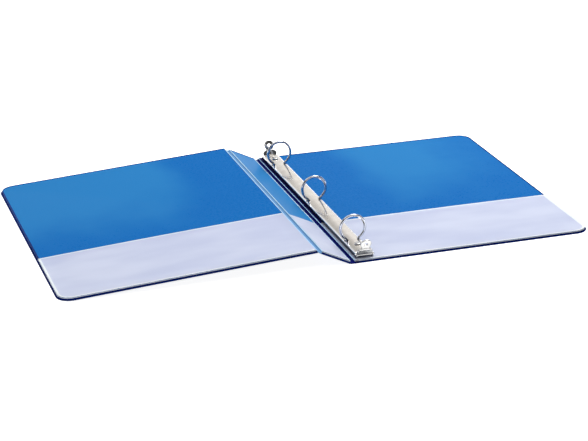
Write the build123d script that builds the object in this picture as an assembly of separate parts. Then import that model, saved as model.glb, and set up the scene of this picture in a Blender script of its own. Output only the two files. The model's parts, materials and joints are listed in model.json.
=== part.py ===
"""Three-ring binder lying open: welded vinyl covers over boards, and a nickel ring mechanism.

Frame, in millimetres: +Z is up, +X points to the back cover's free edge, +Y to the top of the
pages. The origin is on the outer face of the back cover, under the middle of the mechanism.
Covers and spine are drawn laid flat, then turned about their two fold lines.
"""
from build123d import *
import math
import os

# ---- covers and spine: overall sizes
COVER_HEIGHT = 292.1        # along the spine, 11.5 inch
COVER_REACH = 234.0         # hinge groove centre to a cover's free edge
CORNER_R = 14.0             # free corners of both covers
SPINE_CORNER_R = 2.5        # corners beside a hinge
SPINE_ANGLE = 26.0          # how far the spine is tilted up from flat, degrees

# ---- covers and spine: layers
SKIN_T = 0.25               # each vinyl sheet
BOARD_T = 1.8               # chipboard stiffener
FILM_T = 0.15               # clear pocket film
RIM_W = 1.4                 # flat weld along the outer edges
BOARD_INSET = 2.2           # board edge to the outer edge of the vinyl
HINGE_INSET = 0.9           # board edge to the vinyl edge beside a hinge
EDGE_SLOPE = 0.6            # the inner sheet's sloped run down to the weld
EDGE_DROP = 0.225           # height of that slope
HINGE_RIM_W = 0.3           # flat rim beside a hinge
MIN_CORNER_R = 0.4          # smallest radius left on an inset corner
FILM_CORNER_R = 0.5         # pocket film corners away from the free corners
POCKET_HEIGHT = 97.4        # pocket film, from the bottom edge up

# ---- hinges
COVER_ROOM = 3.3            # groove to groove, past the height of the rings
WEB_T = 0.7                 # welded vinyl web in a hinge groove
GROOVE_HALF = 2.2           # groove centre to the panel edge
SPINE_GROOVE_EXTRA = 1.0    # the spine's edge stands this much further from the base groove
BASE_FOLD = 2.4             # base groove centre to the fold line, towards the spine
FRONT_FOLD = 1.3            # front groove centre to the fold line, towards the front cover
WEB_GAP = 0.35              # web end to the fold line

# ---- ring mechanism: plate
MECH_OFFSET = 13.1          # base groove centre to the mechanism's centre line
PLATE_LENGTH = 272.4        # the arched top, between the levers
PLATE_T = 0.7
PLATE_LIFT = 0.15           # plate's lips above the pocket film
SHOULDER_H = 3.6            # side wall height
CROWN_RISE = 2.2            # arch over the shoulders
LIP_W = 1.3                 # inward lip past the side wall
SHOULDER_ROUND = 0.9        # outside radius where the arch meets a side wall
SHOULDER_ROUND_IN = 0.27    # the same bend on the inside
SLOT_PLAY = 0.25            # slot past the ring leg, inwards
SLOT_SWING = 0.7            # slot past the ring leg, outwards, where the ring swings open
SLOT_SIDE = 0.5             # slot past the ring leg, along Y
SLOT_EDGE = 0.45            # plate left outside a slot

# ---- ring mechanism: rings
RING_SPACING = 107.95       # 4.25 inch between neighbouring rings
RING_OUTER_R = 13.0
WIRE_R = 1.25
LEG_X = 5.8                 # upright leg of a half ring to the middle plane
LEG_RISE = 1.25             # straight leg above the plate's shoulder
RING_BEND_R = 2.2           # bend from the upright leg into the round part
TIP_GAP = 0.1               # each tip to the middle plane
TONGUE_R, TONGUE_LEN = 0.55, 1.4
SOCKET_CLEARANCE = 0.25

# ---- ring mechanism: carrier plates that hold the half rings
PIVOT_INSET = 0.6           # carrier's pivot line to the side wall
PIVOT_H = 2.4               # pivot line above the cover's inner face
CARRIER_T = 0.8
CARRIER_LAP = 0.1           # carrier edge past its pivot line
CARRIER_GAP = 0.12          # inner edge to the middle plane, carriers level
CLOSED_TILT = 5.25          # carriers' tilt with the rings closed, degrees
LEG_PROUD = 0.4             # ring leg staked below its carrier
END_GAP = 0.3               # carrier end to lever hub

# ---- levers, pins and rivets
LEVER_AXIS_GAP = 2.4        # end of the arched top to the lever pin
LEVER_AXIS_H = 2.6          # lever pin above the cover's inner face
LEVER_LEAN = 20.0           # degrees outwards
LEVER_T = 1.5
PAD_SIDE_GAP = 0.4          # pad to each side wall
PAD_HALF_H, PAD_CENTRE, PAD_T = 4.0, 3.6, 2.3
LOBE_R, LOBE_CENTRE = 5.0, 11.8
LOBE_HOLE_R = 1.8
LEVER_ROUND = 0.5           # rounded rims of the pad and the lobe
NECK_HALF_W = 3.4
HUB_R, PIN_R, PIN_RUN = 1.7, 0.8, 0.05
PIN_PROUD = 0.7             # pin end past the side wall
EAR_R = 2.3
TONGUE_HALF_W, TONGUE_REACH, TONGUE_TOP, TONGUE_T = 1.0, 2.5, 1.6, 0.65
TONGUE_ROOT_Y = 0.57        # middle of the tongue's root, inwards of the pin
RIVET_FROM_END = 14.5       # rivet to the end of the arched top
RIVET_R, RIVET_RUN = 1.5, 0.05
RIVET_HEAD_R, RIVET_HEAD_T, RIVET_RECESS = 4.0, 0.5, 0.05
DOME_R, DOME_H, DOME_ROUND = 3.2, 1.2, 1.08
POST_R = 3.2
POST_NOTCH = 1.1            # carrier notch round a post
CUT_PAST = 1.0              # cutters run this far past the material

# ---- worked out from the sizes above: mechanism
PANEL_T = 2 * SKIN_T + BOARD_T
PLATE_BASE_Z = PANEL_T + FILM_T + PLATE_LIFT
SHOULDER_Z = PLATE_BASE_Z + SHOULDER_H
CROWN_Z = SHOULDER_Z + CROWN_RISE
SLOT_IN = LEG_X - WIRE_R - SLOT_PLAY
SLOT_OUT = LEG_X + WIRE_R + SLOT_SWING
PLATE_HALF_W = SLOT_OUT + SLOT_EDGE
PIVOT_X = PLATE_HALF_W - PLATE_T - PIVOT_INSET
PIVOT_Z = PANEL_T + PIVOT_H
LEVER_AXIS_Y = PLATE_LENGTH / 2 + LEVER_AXIS_GAP
LEVER_AXIS_Z = PANEL_T + LEVER_AXIS_H
PAD_HALF_W = PLATE_HALF_W - PLATE_T - PAD_SIDE_GAP
RIVET_Y = PLATE_LENGTH / 2 - RIVET_FROM_END
CARRIER_HALF_L = LEVER_AXIS_Y - HUB_R - END_GAP
RING_R = RING_OUTER_R - WIRE_R
LEG_TOP_Z = SHOULDER_Z + LEG_RISE
BEND_ANGLE = math.acos((LEG_X + RING_BEND_R) / (RING_R + RING_BEND_R))
RING_CENTRE_Z = LEG_TOP_Z + (RING_R + RING_BEND_R) * math.sin(BEND_ANGLE)
RING_YS = {"near": -RING_SPACING, "middle": 0.0, "far": RING_SPACING}
ENDS = {"near": -1, "far": 1}
SIDES = {"left": -1, "right": 1}

# ---- worked out from the sizes above: covers and spine
SPINE_PITCH = RING_CENTRE_Z + RING_OUTER_R + COVER_ROOM
HALF_H = COVER_HEIGHT / 2
FOLD_Z = WEB_T / 2
BASE_GROOVE_X = -MECH_OFFSET
FRONT_GROOVE_X = BASE_GROOVE_X - SPINE_PITCH
BASE_AXIS_X = BASE_GROOVE_X - BASE_FOLD
FRONT_AXIS_X = FRONT_GROOVE_X - FRONT_FOLD
FOLD_DISTANCE = BASE_AXIS_X - FRONT_AXIS_X
BACK_EDGE = BASE_GROOVE_X + GROOVE_HALF
SPINE_EDGES = (FRONT_GROOVE_X + GROOVE_HALF, BASE_GROOVE_X - GROOVE_HALF - SPINE_GROOVE_EXTRA)
FRONT_EDGE = FRONT_GROOVE_X - GROOVE_HALF
BACK_FREE = BASE_GROOVE_X + COVER_REACH
FRONT_FREE = FRONT_GROOVE_X - COVER_REACH


def front_slope():
    """Downward slope of the front cover that puts its free edge on the table, degrees."""
    reach = FRONT_AXIS_X - FRONT_FREE
    rise = FOLD_Z + FOLD_DISTANCE * math.sin(math.radians(SPINE_ANGLE))
    return math.degrees(math.asin(rise / math.hypot(reach, FOLD_Z)) - math.atan(FOLD_Z / reach))


def turned(x, z, angle):
    """Location that turns by angle about the line along Y through x, z."""
    return Pos(x, 0, z) * Rot(0, angle, 0) * Pos(-x, 0, -z)


SPINE_LOC = turned(BASE_AXIS_X, FOLD_Z, SPINE_ANGLE)
FRONT_LOC = SPINE_LOC * turned(FRONT_AXIS_X, FOLD_Z, -(SPINE_ANGLE + front_slope()))


# ---- covers and spine -------------------------------------------------------------------
def outline(x0, x1, y0, y1, radii, inset=(0, 0, 0, 0)):
    """Face with its own radius at each corner: (x0,y0), (x1,y0), (x1,y1), (x0,y1).

    inset moves the edges in: low X, high X, low Y, high Y.
    """
    a, b = x0 + inset[0], x1 - inset[1]
    c, d = y0 + inset[2], y1 - inset[3]
    corners = [(a, c), (b, c), (b, d), (a, d)]
    face = make_face(Polyline(*corners, close=True))
    for (cx, cy), r in zip(corners, radii):
        vertex = face.vertices().sort_by_distance((cx, cy, 0))[0]
        face = fillet(vertex, r)
    return face


def panel_faces(x0, x1, free):
    """Outline, raised area and board of one panel; free is the free side, -1, 0 or 1."""
    big = CORNER_R
    small = SPINE_CORNER_R
    low, high = (big if free < 0 else small), (big if free > 0 else small)
    rim_low, rim_high = (RIM_W if free < 0 else HINGE_RIM_W), (RIM_W if free > 0 else HINGE_RIM_W)
    in_low = BOARD_INSET if free < 0 else HINGE_INSET
    in_high = BOARD_INSET if free > 0 else HINGE_INSET
    span = (x0, x1, -HALF_H, HALF_H)

    def shape(i_low, i_high, i_ends):
        radii = [max(r - max(i, i_ends), MIN_CORNER_R) for r, i in ((low, i_low), (high, i_high))]
        return outline(*span, (radii[0], radii[1], radii[1], radii[0]), (i_low, i_high, i_ends, i_ends))

    return shape(0, 0, 0), shape(rim_low, rim_high, RIM_W), shape(in_low, in_high, BOARD_INSET)


def make_panel(x0, x1, free):
    """Outer skin, board and inner liner of one panel, laid flat."""
    edge, raised, board_face = panel_faces(x0, x1, free)
    outer_skin = extrude(edge, SKIN_T)
    board = Pos(0, 0, SKIN_T) * extrude(board_face, BOARD_T)
    liner = Pos(0, 0, SKIN_T) * extrude(edge, SKIN_T)
    pillow = Pos(0, 0, SKIN_T) * extrude(raised, BOARD_T + SKIN_T)
    rim = pillow.faces().sort_by(Axis.Z)[-1].edges()
    pillow = chamfer(rim, EDGE_DROP, EDGE_SLOPE)
    return outer_skin, board, (liner + pillow) - board


def make_pocket(x0, x1, free):
    """Pocket film on the inner face, from the bottom edge up."""
    low = RIM_W + EDGE_SLOPE if free < 0 else HINGE_INSET
    high = RIM_W + EDGE_SLOPE if free > 0 else HINGE_INSET
    bottom = RIM_W + EDGE_SLOPE
    big = CORNER_R - bottom
    small = FILM_CORNER_R
    radii = (big if free < 0 else small, big if free > 0 else small, small, small)
    face = outline(x0, x1, -HALF_H, POCKET_HEIGHT - HALF_H, radii, (low, high, bottom, 0))
    return Pos(0, 0, PANEL_T) * extrude(face, FILM_T)


def make_web(x0, x1):
    """Welded vinyl web in a hinge groove."""
    length = COVER_HEIGHT - 2 * RIM_W
    return Pos((x0 + x1) / 2, 0, FOLD_Z) * Box(x1 - x0, length, WEB_T)


def rivet_holes(part, radius, z0, z1, ends=("near", "far")):
    """Cut a hole of this radius at the named rivets, from z0 to z1."""
    for end in ends:
        hole = Pos(0, ENDS[end] * RIVET_Y, (z0 + z1) / 2) * Cylinder(radius, z1 - z0)
        part = part - hole
    return part


def make_covers():
    """All cover and spine nodes."""
    nodes = {}
    bore = RIVET_R + RIVET_RUN
    head_bore = RIVET_HEAD_R + RIVET_RUN
    head_top = RIVET_RECESS + RIVET_HEAD_T
    skin, board, liner = make_panel(BACK_EDGE, BACK_FREE, 1)
    board = rivet_holes(board, bore, SKIN_T - CUT_PAST, PANEL_T)
    nodes["back_outer_skin"] = rivet_holes(skin, head_bore, -CUT_PAST, SKIN_T + CUT_PAST)
    nodes["back_board"] = rivet_holes(board, head_bore, SKIN_T - CUT_PAST, head_top)
    over_z = (PANEL_T - CUT_PAST, PANEL_T + CUT_PAST)
    nodes["back_inner_liner"] = rivet_holes(liner, bore, *over_z)
    pocket = make_pocket(BACK_EDGE, BACK_FREE, 1)
    nodes["back_pocket_film"] = rivet_holes(pocket, POST_R + RIVET_RUN, *over_z)
    nodes["base_hinge_web"] = make_web(BASE_AXIS_X + WEB_GAP, BACK_EDGE)

    names = ("outer_skin", "board", "inner_liner", "pocket_film")
    spine = make_panel(*SPINE_EDGES, 0) + (make_pocket(*SPINE_EDGES, 0),)
    front = make_panel(FRONT_FREE, FRONT_EDGE, -1) + (make_pocket(FRONT_FREE, FRONT_EDGE, -1),)
    for name, spine_part, front_part in zip(names, spine, front):
        nodes["spine_" + name] = SPINE_LOC * spine_part
        nodes["front_" + name] = FRONT_LOC * front_part
    nodes["front_hinge_web"] = SPINE_LOC * make_web(FRONT_AXIS_X + WEB_GAP, SPINE_EDGES[0])
    return nodes


# ---- ring mechanism ---------------------------------------------------------------------
def arch_face(inset, base_z, round_r):
    """Cross-section under the arch, moved in by inset, down to base_z."""
    w, s, c = PLATE_HALF_W - inset, SHOULDER_Z - inset, CROWN_Z - inset
    walls = Polyline((-w, s), (-w, base_z), (w, base_z), (w, s))
    arch = ThreePointArc((w, s), (0, c), (-w, s))
    face = make_face(walls + arch)
    shoulders = face.vertices().sort_by(Axis.Y)[2:]
    return Plane.XZ * fillet(shoulders, round_r)


def extrude_y(face, half_length):
    """Extrude a face that lies in the XZ plane both ways along Y."""
    return extrude(face, half_length, both=True)


def make_plate():
    """Arched top plate with lips, ring slots, rivet holes and ears for the lever pins."""
    half = PLATE_LENGTH / 2
    shell = extrude_y(arch_face(0, PLATE_BASE_Z, SHOULDER_ROUND), half)
    hollow = arch_face(PLATE_T, PLATE_BASE_Z + PLATE_T, SHOULDER_ROUND_IN)
    shell -= extrude_y(hollow, half + CUT_PAST)
    mouth = PLATE_HALF_W - PLATE_T - LIP_W
    shell -= Pos(0, 0, PLATE_BASE_Z) * Box(2 * mouth, 2 * (half + CUT_PAST), 4 * PLATE_T)
    slot_w = 2 * (WIRE_R + SLOT_SIDE)
    slot_depth = 2 * (CROWN_RISE + PLATE_T) + CUT_PAST
    for y in RING_YS.values():
        for side in SIDES.values():
            x = side * (SLOT_IN + SLOT_OUT) / 2
            shell -= Pos(x, y, CROWN_Z) * Box(SLOT_OUT - SLOT_IN, slot_w, slot_depth)
    shell = rivet_holes(shell, RIVET_R + RIVET_RUN, SHOULDER_Z, CROWN_Z + CUT_PAST)
    for end in ENDS.values():
        for side in SIDES.values():
            shell += make_ear(end, side)
    return shell


def make_ear(end, side):
    """End of a side wall, rounded about the lever pin."""
    x = side * (PLATE_HALF_W - PLATE_T / 2)
    y = end * LEVER_AXIS_Y
    disc = Pos(x, y, LEVER_AXIS_Z) * Rot(0, 90, 0) * Cylinder(EAR_R, PLATE_T)
    run = LEVER_AXIS_GAP + PLATE_T
    neck = Pos(x, y - end * run / 2, LEVER_AXIS_Z) * Box(PLATE_T, run, 2 * EAR_R)
    trim = Pos(x, y, SHOULDER_Z + EAR_R) * Box(PLATE_T + CUT_PAST, 4 * EAR_R, 2 * EAR_R)
    return (disc + neck) - trim


def leg_bottom():
    """Height of a ring leg's lower end, just below its tilted carrier."""
    drop = (PIVOT_X - LEG_X) * math.sin(math.radians(CLOSED_TILT))
    return PIVOT_Z - drop - CARRIER_T / 2 - LEG_PROUD


def ring_path(side):
    """Centre line of a half ring: upright leg, bend, then the round part to the top."""
    def on_bend(angle):
        x = LEG_X + RING_BEND_R * (1 - math.cos(angle))
        return (side * x, 0, LEG_TOP_Z + RING_BEND_R * math.sin(angle))

    foot, bend_top = (side * LEG_X, 0, leg_bottom()), on_bend(BEND_ANGLE)
    tip = (side * TIP_GAP, 0, RING_CENTRE_Z + math.sqrt(RING_R**2 - TIP_GAP**2))
    leg = Line(foot, on_bend(0))
    bend = ThreePointArc(on_bend(0), on_bend(BEND_ANGLE / 2), bend_top)
    round_part = ThreePointArc(bend_top, (side * RING_R, 0, RING_CENTRE_Z), tip)
    return Wire([leg, bend, round_part])


def make_half_ring(side, y):
    """Half ring; the left tip has a tongue and the right tip its socket."""
    wire = sweep(Pos(side * LEG_X, 0, leg_bottom()) * Circle(WIRE_R), path=ring_path(side))
    top = Pos(0, 0, RING_CENTRE_Z + RING_R) * Rot(0, 90, 0)
    if side < 0:
        wire += top * Pos(0, 0, TONGUE_LEN / 2 - TIP_GAP) * Cylinder(TONGUE_R, TONGUE_LEN + 2 * TIP_GAP)
    else:
        wire -= top * Cylinder(TONGUE_R + SOCKET_CLEARANCE, 2 * (TONGUE_LEN + SOCKET_CLEARANCE))
    return Pos(0, y, 0) * wire


def make_carrier(side, rings):
    """Sprung carrier plate of one side, tilted as it lies with the rings closed."""
    inner, outer = CARRIER_GAP, PIVOT_X + CARRIER_LAP
    sheet = Box(outer - inner, 2 * CARRIER_HALF_L, CARRIER_T)
    plate = Pos(side * (inner + outer) / 2, 0, PIVOT_Z) * sheet
    notch = POST_R + POST_NOTCH
    plate = rivet_holes(plate, notch, PIVOT_Z - CARRIER_T, PIVOT_Z + CARRIER_T)
    plate = turned(side * PIVOT_X, PIVOT_Z, -side * CLOSED_TILT) * plate
    for ring in rings:
        plate = plate - ring
    return plate


def make_rivet(end):
    """Rivet: flat head in the outer skin, shank, and a domed head on the plate."""
    head_top = RIVET_RECESS + RIVET_HEAD_T
    head = Pos(0, 0, RIVET_RECESS + RIVET_HEAD_T / 2) * Cylinder(RIVET_HEAD_R, RIVET_HEAD_T)
    shank = Pos(0, 0, (head_top + CROWN_Z) / 2) * Cylinder(RIVET_R, CROWN_Z - head_top)
    dome = Pos(0, 0, CROWN_Z + DOME_H / 2) * Cylinder(DOME_R, DOME_H)
    dome = fillet(dome.faces().sort_by(Axis.Z)[-1].edges(), DOME_ROUND)
    return Pos(0, end * RIVET_Y, 0) * (head + shank + dome)


def make_post(end):
    """Tubular post that holds the plate off the cover."""
    sag = CROWN_RISE * (POST_R / PLATE_HALF_W) ** 2
    top = CROWN_Z - PLATE_T - sag
    height = top - PANEL_T - RIVET_RUN
    tube = Cylinder(POST_R, height) - Cylinder(RIVET_R + RIVET_RUN, height)
    return Pos(0, end * RIVET_Y, PANEL_T + height / 2) * tube


def make_lever(end):
    """Thumb lever: hub, oval pad, neck and round lobe with a hole, and a tongue."""
    pad = extrude(Ellipse(PAD_HALF_W, PAD_HALF_H), PAD_T / 2, both=True)
    pad = Pos(0, PAD_CENTRE, 0) * fillet(pad.edges().filter_by(GeomType.ELLIPSE), LEVER_ROUND)
    lobe = Cylinder(LOBE_R, LEVER_T)
    lobe = Pos(0, LOBE_CENTRE, 0) * fillet(lobe.edges().filter_by(GeomType.CIRCLE), LEVER_ROUND)
    neck_len = LOBE_CENTRE - PAD_CENTRE
    neck = Pos(0, PAD_CENTRE + neck_len / 2, 0) * Box(2 * NECK_HALF_W, neck_len, LEVER_T)
    body = pad + lobe + neck
    body -= Pos(0, LOBE_CENTRE, 0) * Cylinder(LOBE_HOLE_R, 2 * PAD_T)
    body = Rot(90, 0, 0) * body
    body = Rot(-end * LEVER_LEAN, 0, 0) * body
    hub_half = PLATE_HALF_W - PLATE_T - 2 * END_GAP
    hub = Rot(0, 90, 0) * Cylinder(HUB_R, 2 * hub_half)
    tongue = Pos(0, -end * TONGUE_REACH / 2, -TONGUE_TOP - TONGUE_T / 2)
    tongue = tongue * Box(2 * TONGUE_HALF_W, TONGUE_REACH, TONGUE_T)
    root = Pos(0, -end * TONGUE_ROOT_Y, -(TONGUE_TOP + TONGUE_T) / 2)
    root = root * Box(2 * TONGUE_HALF_W, HUB_R, TONGUE_TOP + TONGUE_T)
    lever = body + hub + tongue + root
    lever -= Rot(0, 90, 0) * Cylinder(PIN_R + PIN_RUN, 4 * hub_half)
    return Pos(0, end * LEVER_AXIS_Y, LEVER_AXIS_Z) * lever


def make_lever_pin(end):
    """Pin through both ears, with its ends standing proud."""
    pin = Rot(0, 90, 0) * Cylinder(PIN_R, 2 * (PLATE_HALF_W + PIN_PROUD))
    return Pos(0, end * LEVER_AXIS_Y, LEVER_AXIS_Z) * pin


def make_mechanism():
    """All nodes of the ring mechanism."""
    nodes = {}
    for side_name, side in SIDES.items():
        rings = {}
        for place, y in RING_YS.items():
            rings["%s_%s_half_ring" % (side_name, place)] = make_half_ring(side, y)
        nodes.update(rings)
        nodes[side_name + "_ring_carrier"] = make_carrier(side, rings.values())
    plate = make_plate()
    for end_name, end in ENDS.items():
        pin = make_lever_pin(end)
        plate = plate - pin
        nodes[end_name + "_lever_pin"] = pin
        nodes[end_name + "_lever"] = make_lever(end)
        nodes[end_name + "_rivet"] = make_rivet(end)
        nodes[end_name + "_post"] = make_post(end)
    nodes["top_plate"] = plate
    return nodes


def main():
    os.makedirs("parts", exist_ok=True)
    nodes = {**make_covers(), **make_mechanism()}
    for name, part in nodes.items():
        part.label = name
        export_step(part, "parts/%s.step" % name)
    print("fold lines at x %.3f and, laid flat, %.3f; z %.3f" % (BASE_AXIS_X, FRONT_AXIS_X, FOLD_Z))
    print("plate half width %.3f, carrier pivots at x %.3f z %.3f" % (PLATE_HALF_W, PIVOT_X, PIVOT_Z))
    print("ring centre z %.3f, groove to groove %.3f" % (RING_CENTRE_Z, SPINE_PITCH))
    print("front cover slope %.4f degrees" % front_slope())
    print("%d nodes written" % len(nodes))


if __name__ == "__main__":
    main()
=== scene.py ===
# %% [markdown]
# # A ring binder, lying open
#
# The binder is three boards in a welded vinyl cover, with a strip of frosted film across the
# bottom that makes pockets, and a nickel ring mechanism riveted to the back cover. The exact
# mechanical parts arrive with the frame. What is modelled here is everything that is vinyl:
# sheets a quarter of a millimetre thick, whose look depends on welds, beads and creases.

# %% The frame
import bpy
import bmesh
import json
import math
from mathutils import Matrix, Vector


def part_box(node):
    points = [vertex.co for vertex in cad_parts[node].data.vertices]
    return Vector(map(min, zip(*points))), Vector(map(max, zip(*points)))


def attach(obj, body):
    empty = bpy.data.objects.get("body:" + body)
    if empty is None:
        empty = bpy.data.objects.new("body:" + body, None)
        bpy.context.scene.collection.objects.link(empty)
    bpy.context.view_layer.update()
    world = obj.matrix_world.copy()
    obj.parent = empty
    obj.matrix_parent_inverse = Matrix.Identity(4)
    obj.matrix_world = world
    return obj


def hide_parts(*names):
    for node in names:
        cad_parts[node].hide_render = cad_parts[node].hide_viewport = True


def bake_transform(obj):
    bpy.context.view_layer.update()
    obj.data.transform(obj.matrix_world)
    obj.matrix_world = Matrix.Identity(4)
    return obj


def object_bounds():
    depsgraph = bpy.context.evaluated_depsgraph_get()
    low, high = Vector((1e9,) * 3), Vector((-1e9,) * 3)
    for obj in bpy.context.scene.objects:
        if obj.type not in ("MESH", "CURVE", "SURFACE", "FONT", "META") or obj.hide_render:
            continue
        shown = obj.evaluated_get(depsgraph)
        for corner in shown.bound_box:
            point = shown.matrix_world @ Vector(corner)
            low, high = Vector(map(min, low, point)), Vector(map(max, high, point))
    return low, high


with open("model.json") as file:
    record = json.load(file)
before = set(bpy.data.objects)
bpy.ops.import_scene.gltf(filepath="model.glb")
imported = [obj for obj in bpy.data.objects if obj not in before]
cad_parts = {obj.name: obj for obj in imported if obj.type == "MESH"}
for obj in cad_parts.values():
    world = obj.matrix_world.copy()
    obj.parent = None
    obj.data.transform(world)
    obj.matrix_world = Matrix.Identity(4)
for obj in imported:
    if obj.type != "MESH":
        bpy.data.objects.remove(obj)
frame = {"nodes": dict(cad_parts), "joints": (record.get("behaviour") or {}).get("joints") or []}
cad_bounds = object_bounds()
print("frame box", cad_bounds)

# %% [markdown]
# ## Sizes
#
# Blender works in metres here, so every size is written in millimetres and multiplied once.
# The fold lines, the tilt of the spine and the heights of the boards are read from the frame.
# Only what the vinyl adds, such as the width of a weld, is a number of its own.

# %% Sizes
MM = 0.001
JOINTS = {joint["name"]: Vector(joint["pos_m"]) for joint in frame["joints"]}
BASE_FOLD_LINE = JOINTS["spine_fold"]
FRONT_FOLD_LINE = JOINTS["front_cover_fold"]

SHEET = 0.25 * MM               # each vinyl sheet
RIM_WIDTH = 1.25 * MM           # flat weld round the outside edge
FREE_CORNER = 14 * MM           # radius of the covers' free corners
BASE_GROOVE_OFF = 2.4 * MM      # base groove centre to its fold line
FRONT_GROOVE_OFF = 1.3 * MM     # front groove centre to its fold line
SAME = 0.02 * MM                # places this near to each other count as one

back_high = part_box("back_outer_skin")[1]
FILM_LOW, FILM_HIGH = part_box("back_pocket_film")
FILM_TOP = FILM_HIGH.y          # the pockets' open edge
HALF_HEIGHT = back_high.y
PANEL_TOP = FILM_LOW.z
FOLD_Z = BASE_FOLD_LINE.z
SPINE_TILT = math.atan2(FRONT_FOLD_LINE.z - FOLD_Z, BASE_FOLD_LINE.x - FRONT_FOLD_LINE.x)
FOLD_DISTANCE = (FRONT_FOLD_LINE - BASE_FOLD_LINE).length

BASE_GROOVE = BASE_FOLD_LINE.x + BASE_GROOVE_OFF
FLAT_FRONT_FOLD = BASE_FOLD_LINE.x - FOLD_DISTANCE
FRONT_GROOVE = FLAT_FRONT_FOLD + FRONT_GROOVE_OFF
REACH = back_high.x - BASE_GROOVE
FRONT_FREE = FRONT_GROOVE - REACH
front_reach = FLAT_FRONT_FOLD - FRONT_FREE
FRONT_SLOPE = (math.asin(FRONT_FOLD_LINE.z / math.hypot(front_reach, FOLD_Z))
               - math.atan(FOLD_Z / front_reach))
print("spine tilt %.2f degrees" % math.degrees(SPINE_TILT))
print("front cover slope %.2f degrees" % math.degrees(FRONT_SLOPE))

# %% [markdown]
# ## Working by selection
#
# An operator acts on whatever is selected, so each one is preceded by a choice made in code.
# `only` leaves a single object selected. `pick_points` selects points by a test on their
# place, which is what a modeller does with box select. `pick_field` selects the largest face,
# because a panel's middle stays one large face while its edge is worked.

# %% Selection helpers
def only(piece):
    """Leave object mode with this piece selected, active, and nothing else."""
    if bpy.context.mode != "OBJECT":
        bpy.ops.object.mode_set(mode="OBJECT")
    bpy.ops.object.select_all(action="DESELECT")
    piece.select_set(True)
    bpy.context.view_layer.objects.active = piece


def edit(piece):
    """Enter edit mode on this piece with nothing selected."""
    only(piece)
    bpy.ops.object.mode_set(mode="EDIT")
    bpy.ops.mesh.select_all(action="DESELECT")


def field_of(shape):
    """The largest face, which is the flat field inside the rings of a worked edge."""
    return max(shape.faces, key=lambda face: face.calc_area())


def pick_points(test, only_field=False):
    """Select the points whose place passes the test, and say how many they are."""
    mesh = bpy.context.edit_object.data
    shape = bmesh.from_edit_mesh(mesh)
    bpy.ops.mesh.select_all(action="DESELECT")
    bpy.ops.mesh.select_mode(type="VERT")
    points = field_of(shape).verts if only_field else shape.verts
    chosen = [point for point in points if test(point.co)]
    for point in chosen:
        point.select_set(True)
    shape.select_flush_mode()
    bmesh.update_edit_mesh(mesh)
    return len(chosen)


def pick_field():
    """Select the field and nothing else."""
    mesh = bpy.context.edit_object.data
    shape = bmesh.from_edit_mesh(mesh)
    bpy.ops.mesh.select_all(action="DESELECT")
    bpy.ops.mesh.select_mode(type="FACE")
    field_of(shape).select_set(True)
    bmesh.update_edit_mesh(mesh)


# %% [markdown]
# ## Finishing a piece
#
# A modifier could stay live, but then a pattern or an export may see the piece without it, so
# each is applied at once. The same goes for place: a panel is made laid flat, where its edges
# run along the axes and are easy to pick, and is then turned about the fold lines. The turn is
# worked into its points, so every finished object sits at the origin as the frame's parts do.

# %% Finishing helpers
def close_edit(piece, smooth_angle=35):
    """Back to object mode, with soft shading over gentle angles."""
    only(piece)
    bpy.ops.object.shade_smooth_by_angle(angle=math.radians(smooth_angle))
    return piece


def apply_modifier(piece, kind, **settings):
    """Add a modifier, set it up and apply it at once."""
    only(piece)
    modifier = piece.modifiers.new(kind.title(), kind)
    for key, value in settings.items():
        setattr(modifier, key, value)
    bpy.ops.object.modifier_apply(modifier=modifier.name)


def settle(piece):
    """Put the piece's place into its mesh, so that its object sits at the origin."""
    only(piece)
    bpy.ops.object.transform_apply(location=True, rotation=True, scale=True)


def turn(piece, angle, line):
    """Turn a piece about the line along Y through a point, then settle it."""
    only(piece)
    bpy.ops.transform.rotate(value=-angle, orient_axis="Y", orient_type="GLOBAL",
                             center_override=line)
    settle(piece)


def lay_on_spine(piece):
    """Tilt a piece that was made laid flat into the spine's place."""
    turn(piece, SPINE_TILT, BASE_FOLD_LINE)


def lay_on_front(piece):
    """Bend a piece that was made laid flat into the front cover's place."""
    turn(piece, -(SPINE_TILT + FRONT_SLOPE), Vector((FLAT_FRONT_FOLD, 0, FOLD_Z)))
    lay_on_spine(piece)


# %% [markdown]
# ## Materials as sums
#
# A shader is arithmetic on patterns. `Wire` wraps one socket, so that a mask can be written
# `1 - rim * 0.5`. `Recipe` holds a material's nodes and adds any other node with one method.

# %% Shader arithmetic
class Wire:
    """One output of a node; arithmetic on it adds Math nodes."""

    def __init__(self, recipe, socket):
        self.recipe, self.socket = recipe, socket

    def math(self, operation, first, second=None):
        inputs = {0: first} if second is None else {0: first, 1: second}
        return self.recipe.add("ShaderNodeMath", {"operation": operation}, inputs)

    def __add__(self, other):
        return self.math("ADD", self, other)

    def __mul__(self, other):
        return self.math("MULTIPLY", self, other)

    def __sub__(self, other):
        return self.math("SUBTRACT", self, other)

    def __rsub__(self, other):
        return self.math("SUBTRACT", other, self)

    def __gt__(self, other):
        return self.math("GREATER_THAN", self, other)

    def __abs__(self):
        return self.math("ABSOLUTE", self)

    __radd__ = __add__

    def ramp(self, low, high, low_value=0.0, high_value=1.0):
        """Smooth step from low_value at low to high_value at high."""
        inputs = {0: self, 1: low, 2: high, 3: low_value, 4: high_value}
        return self.recipe.add("ShaderNodeMapRange", {"interpolation_type": "SMOOTHSTEP"}, inputs)


# %% [markdown]
# ## A recipe of nodes
#
# Nodes could be added one by one, with a line for each socket. One method that takes the kind
# of node, its settings and its inputs says the same in a line, and the few patterns that the
# binder needs, such as cloudy noise, get a short name of their own.

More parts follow.
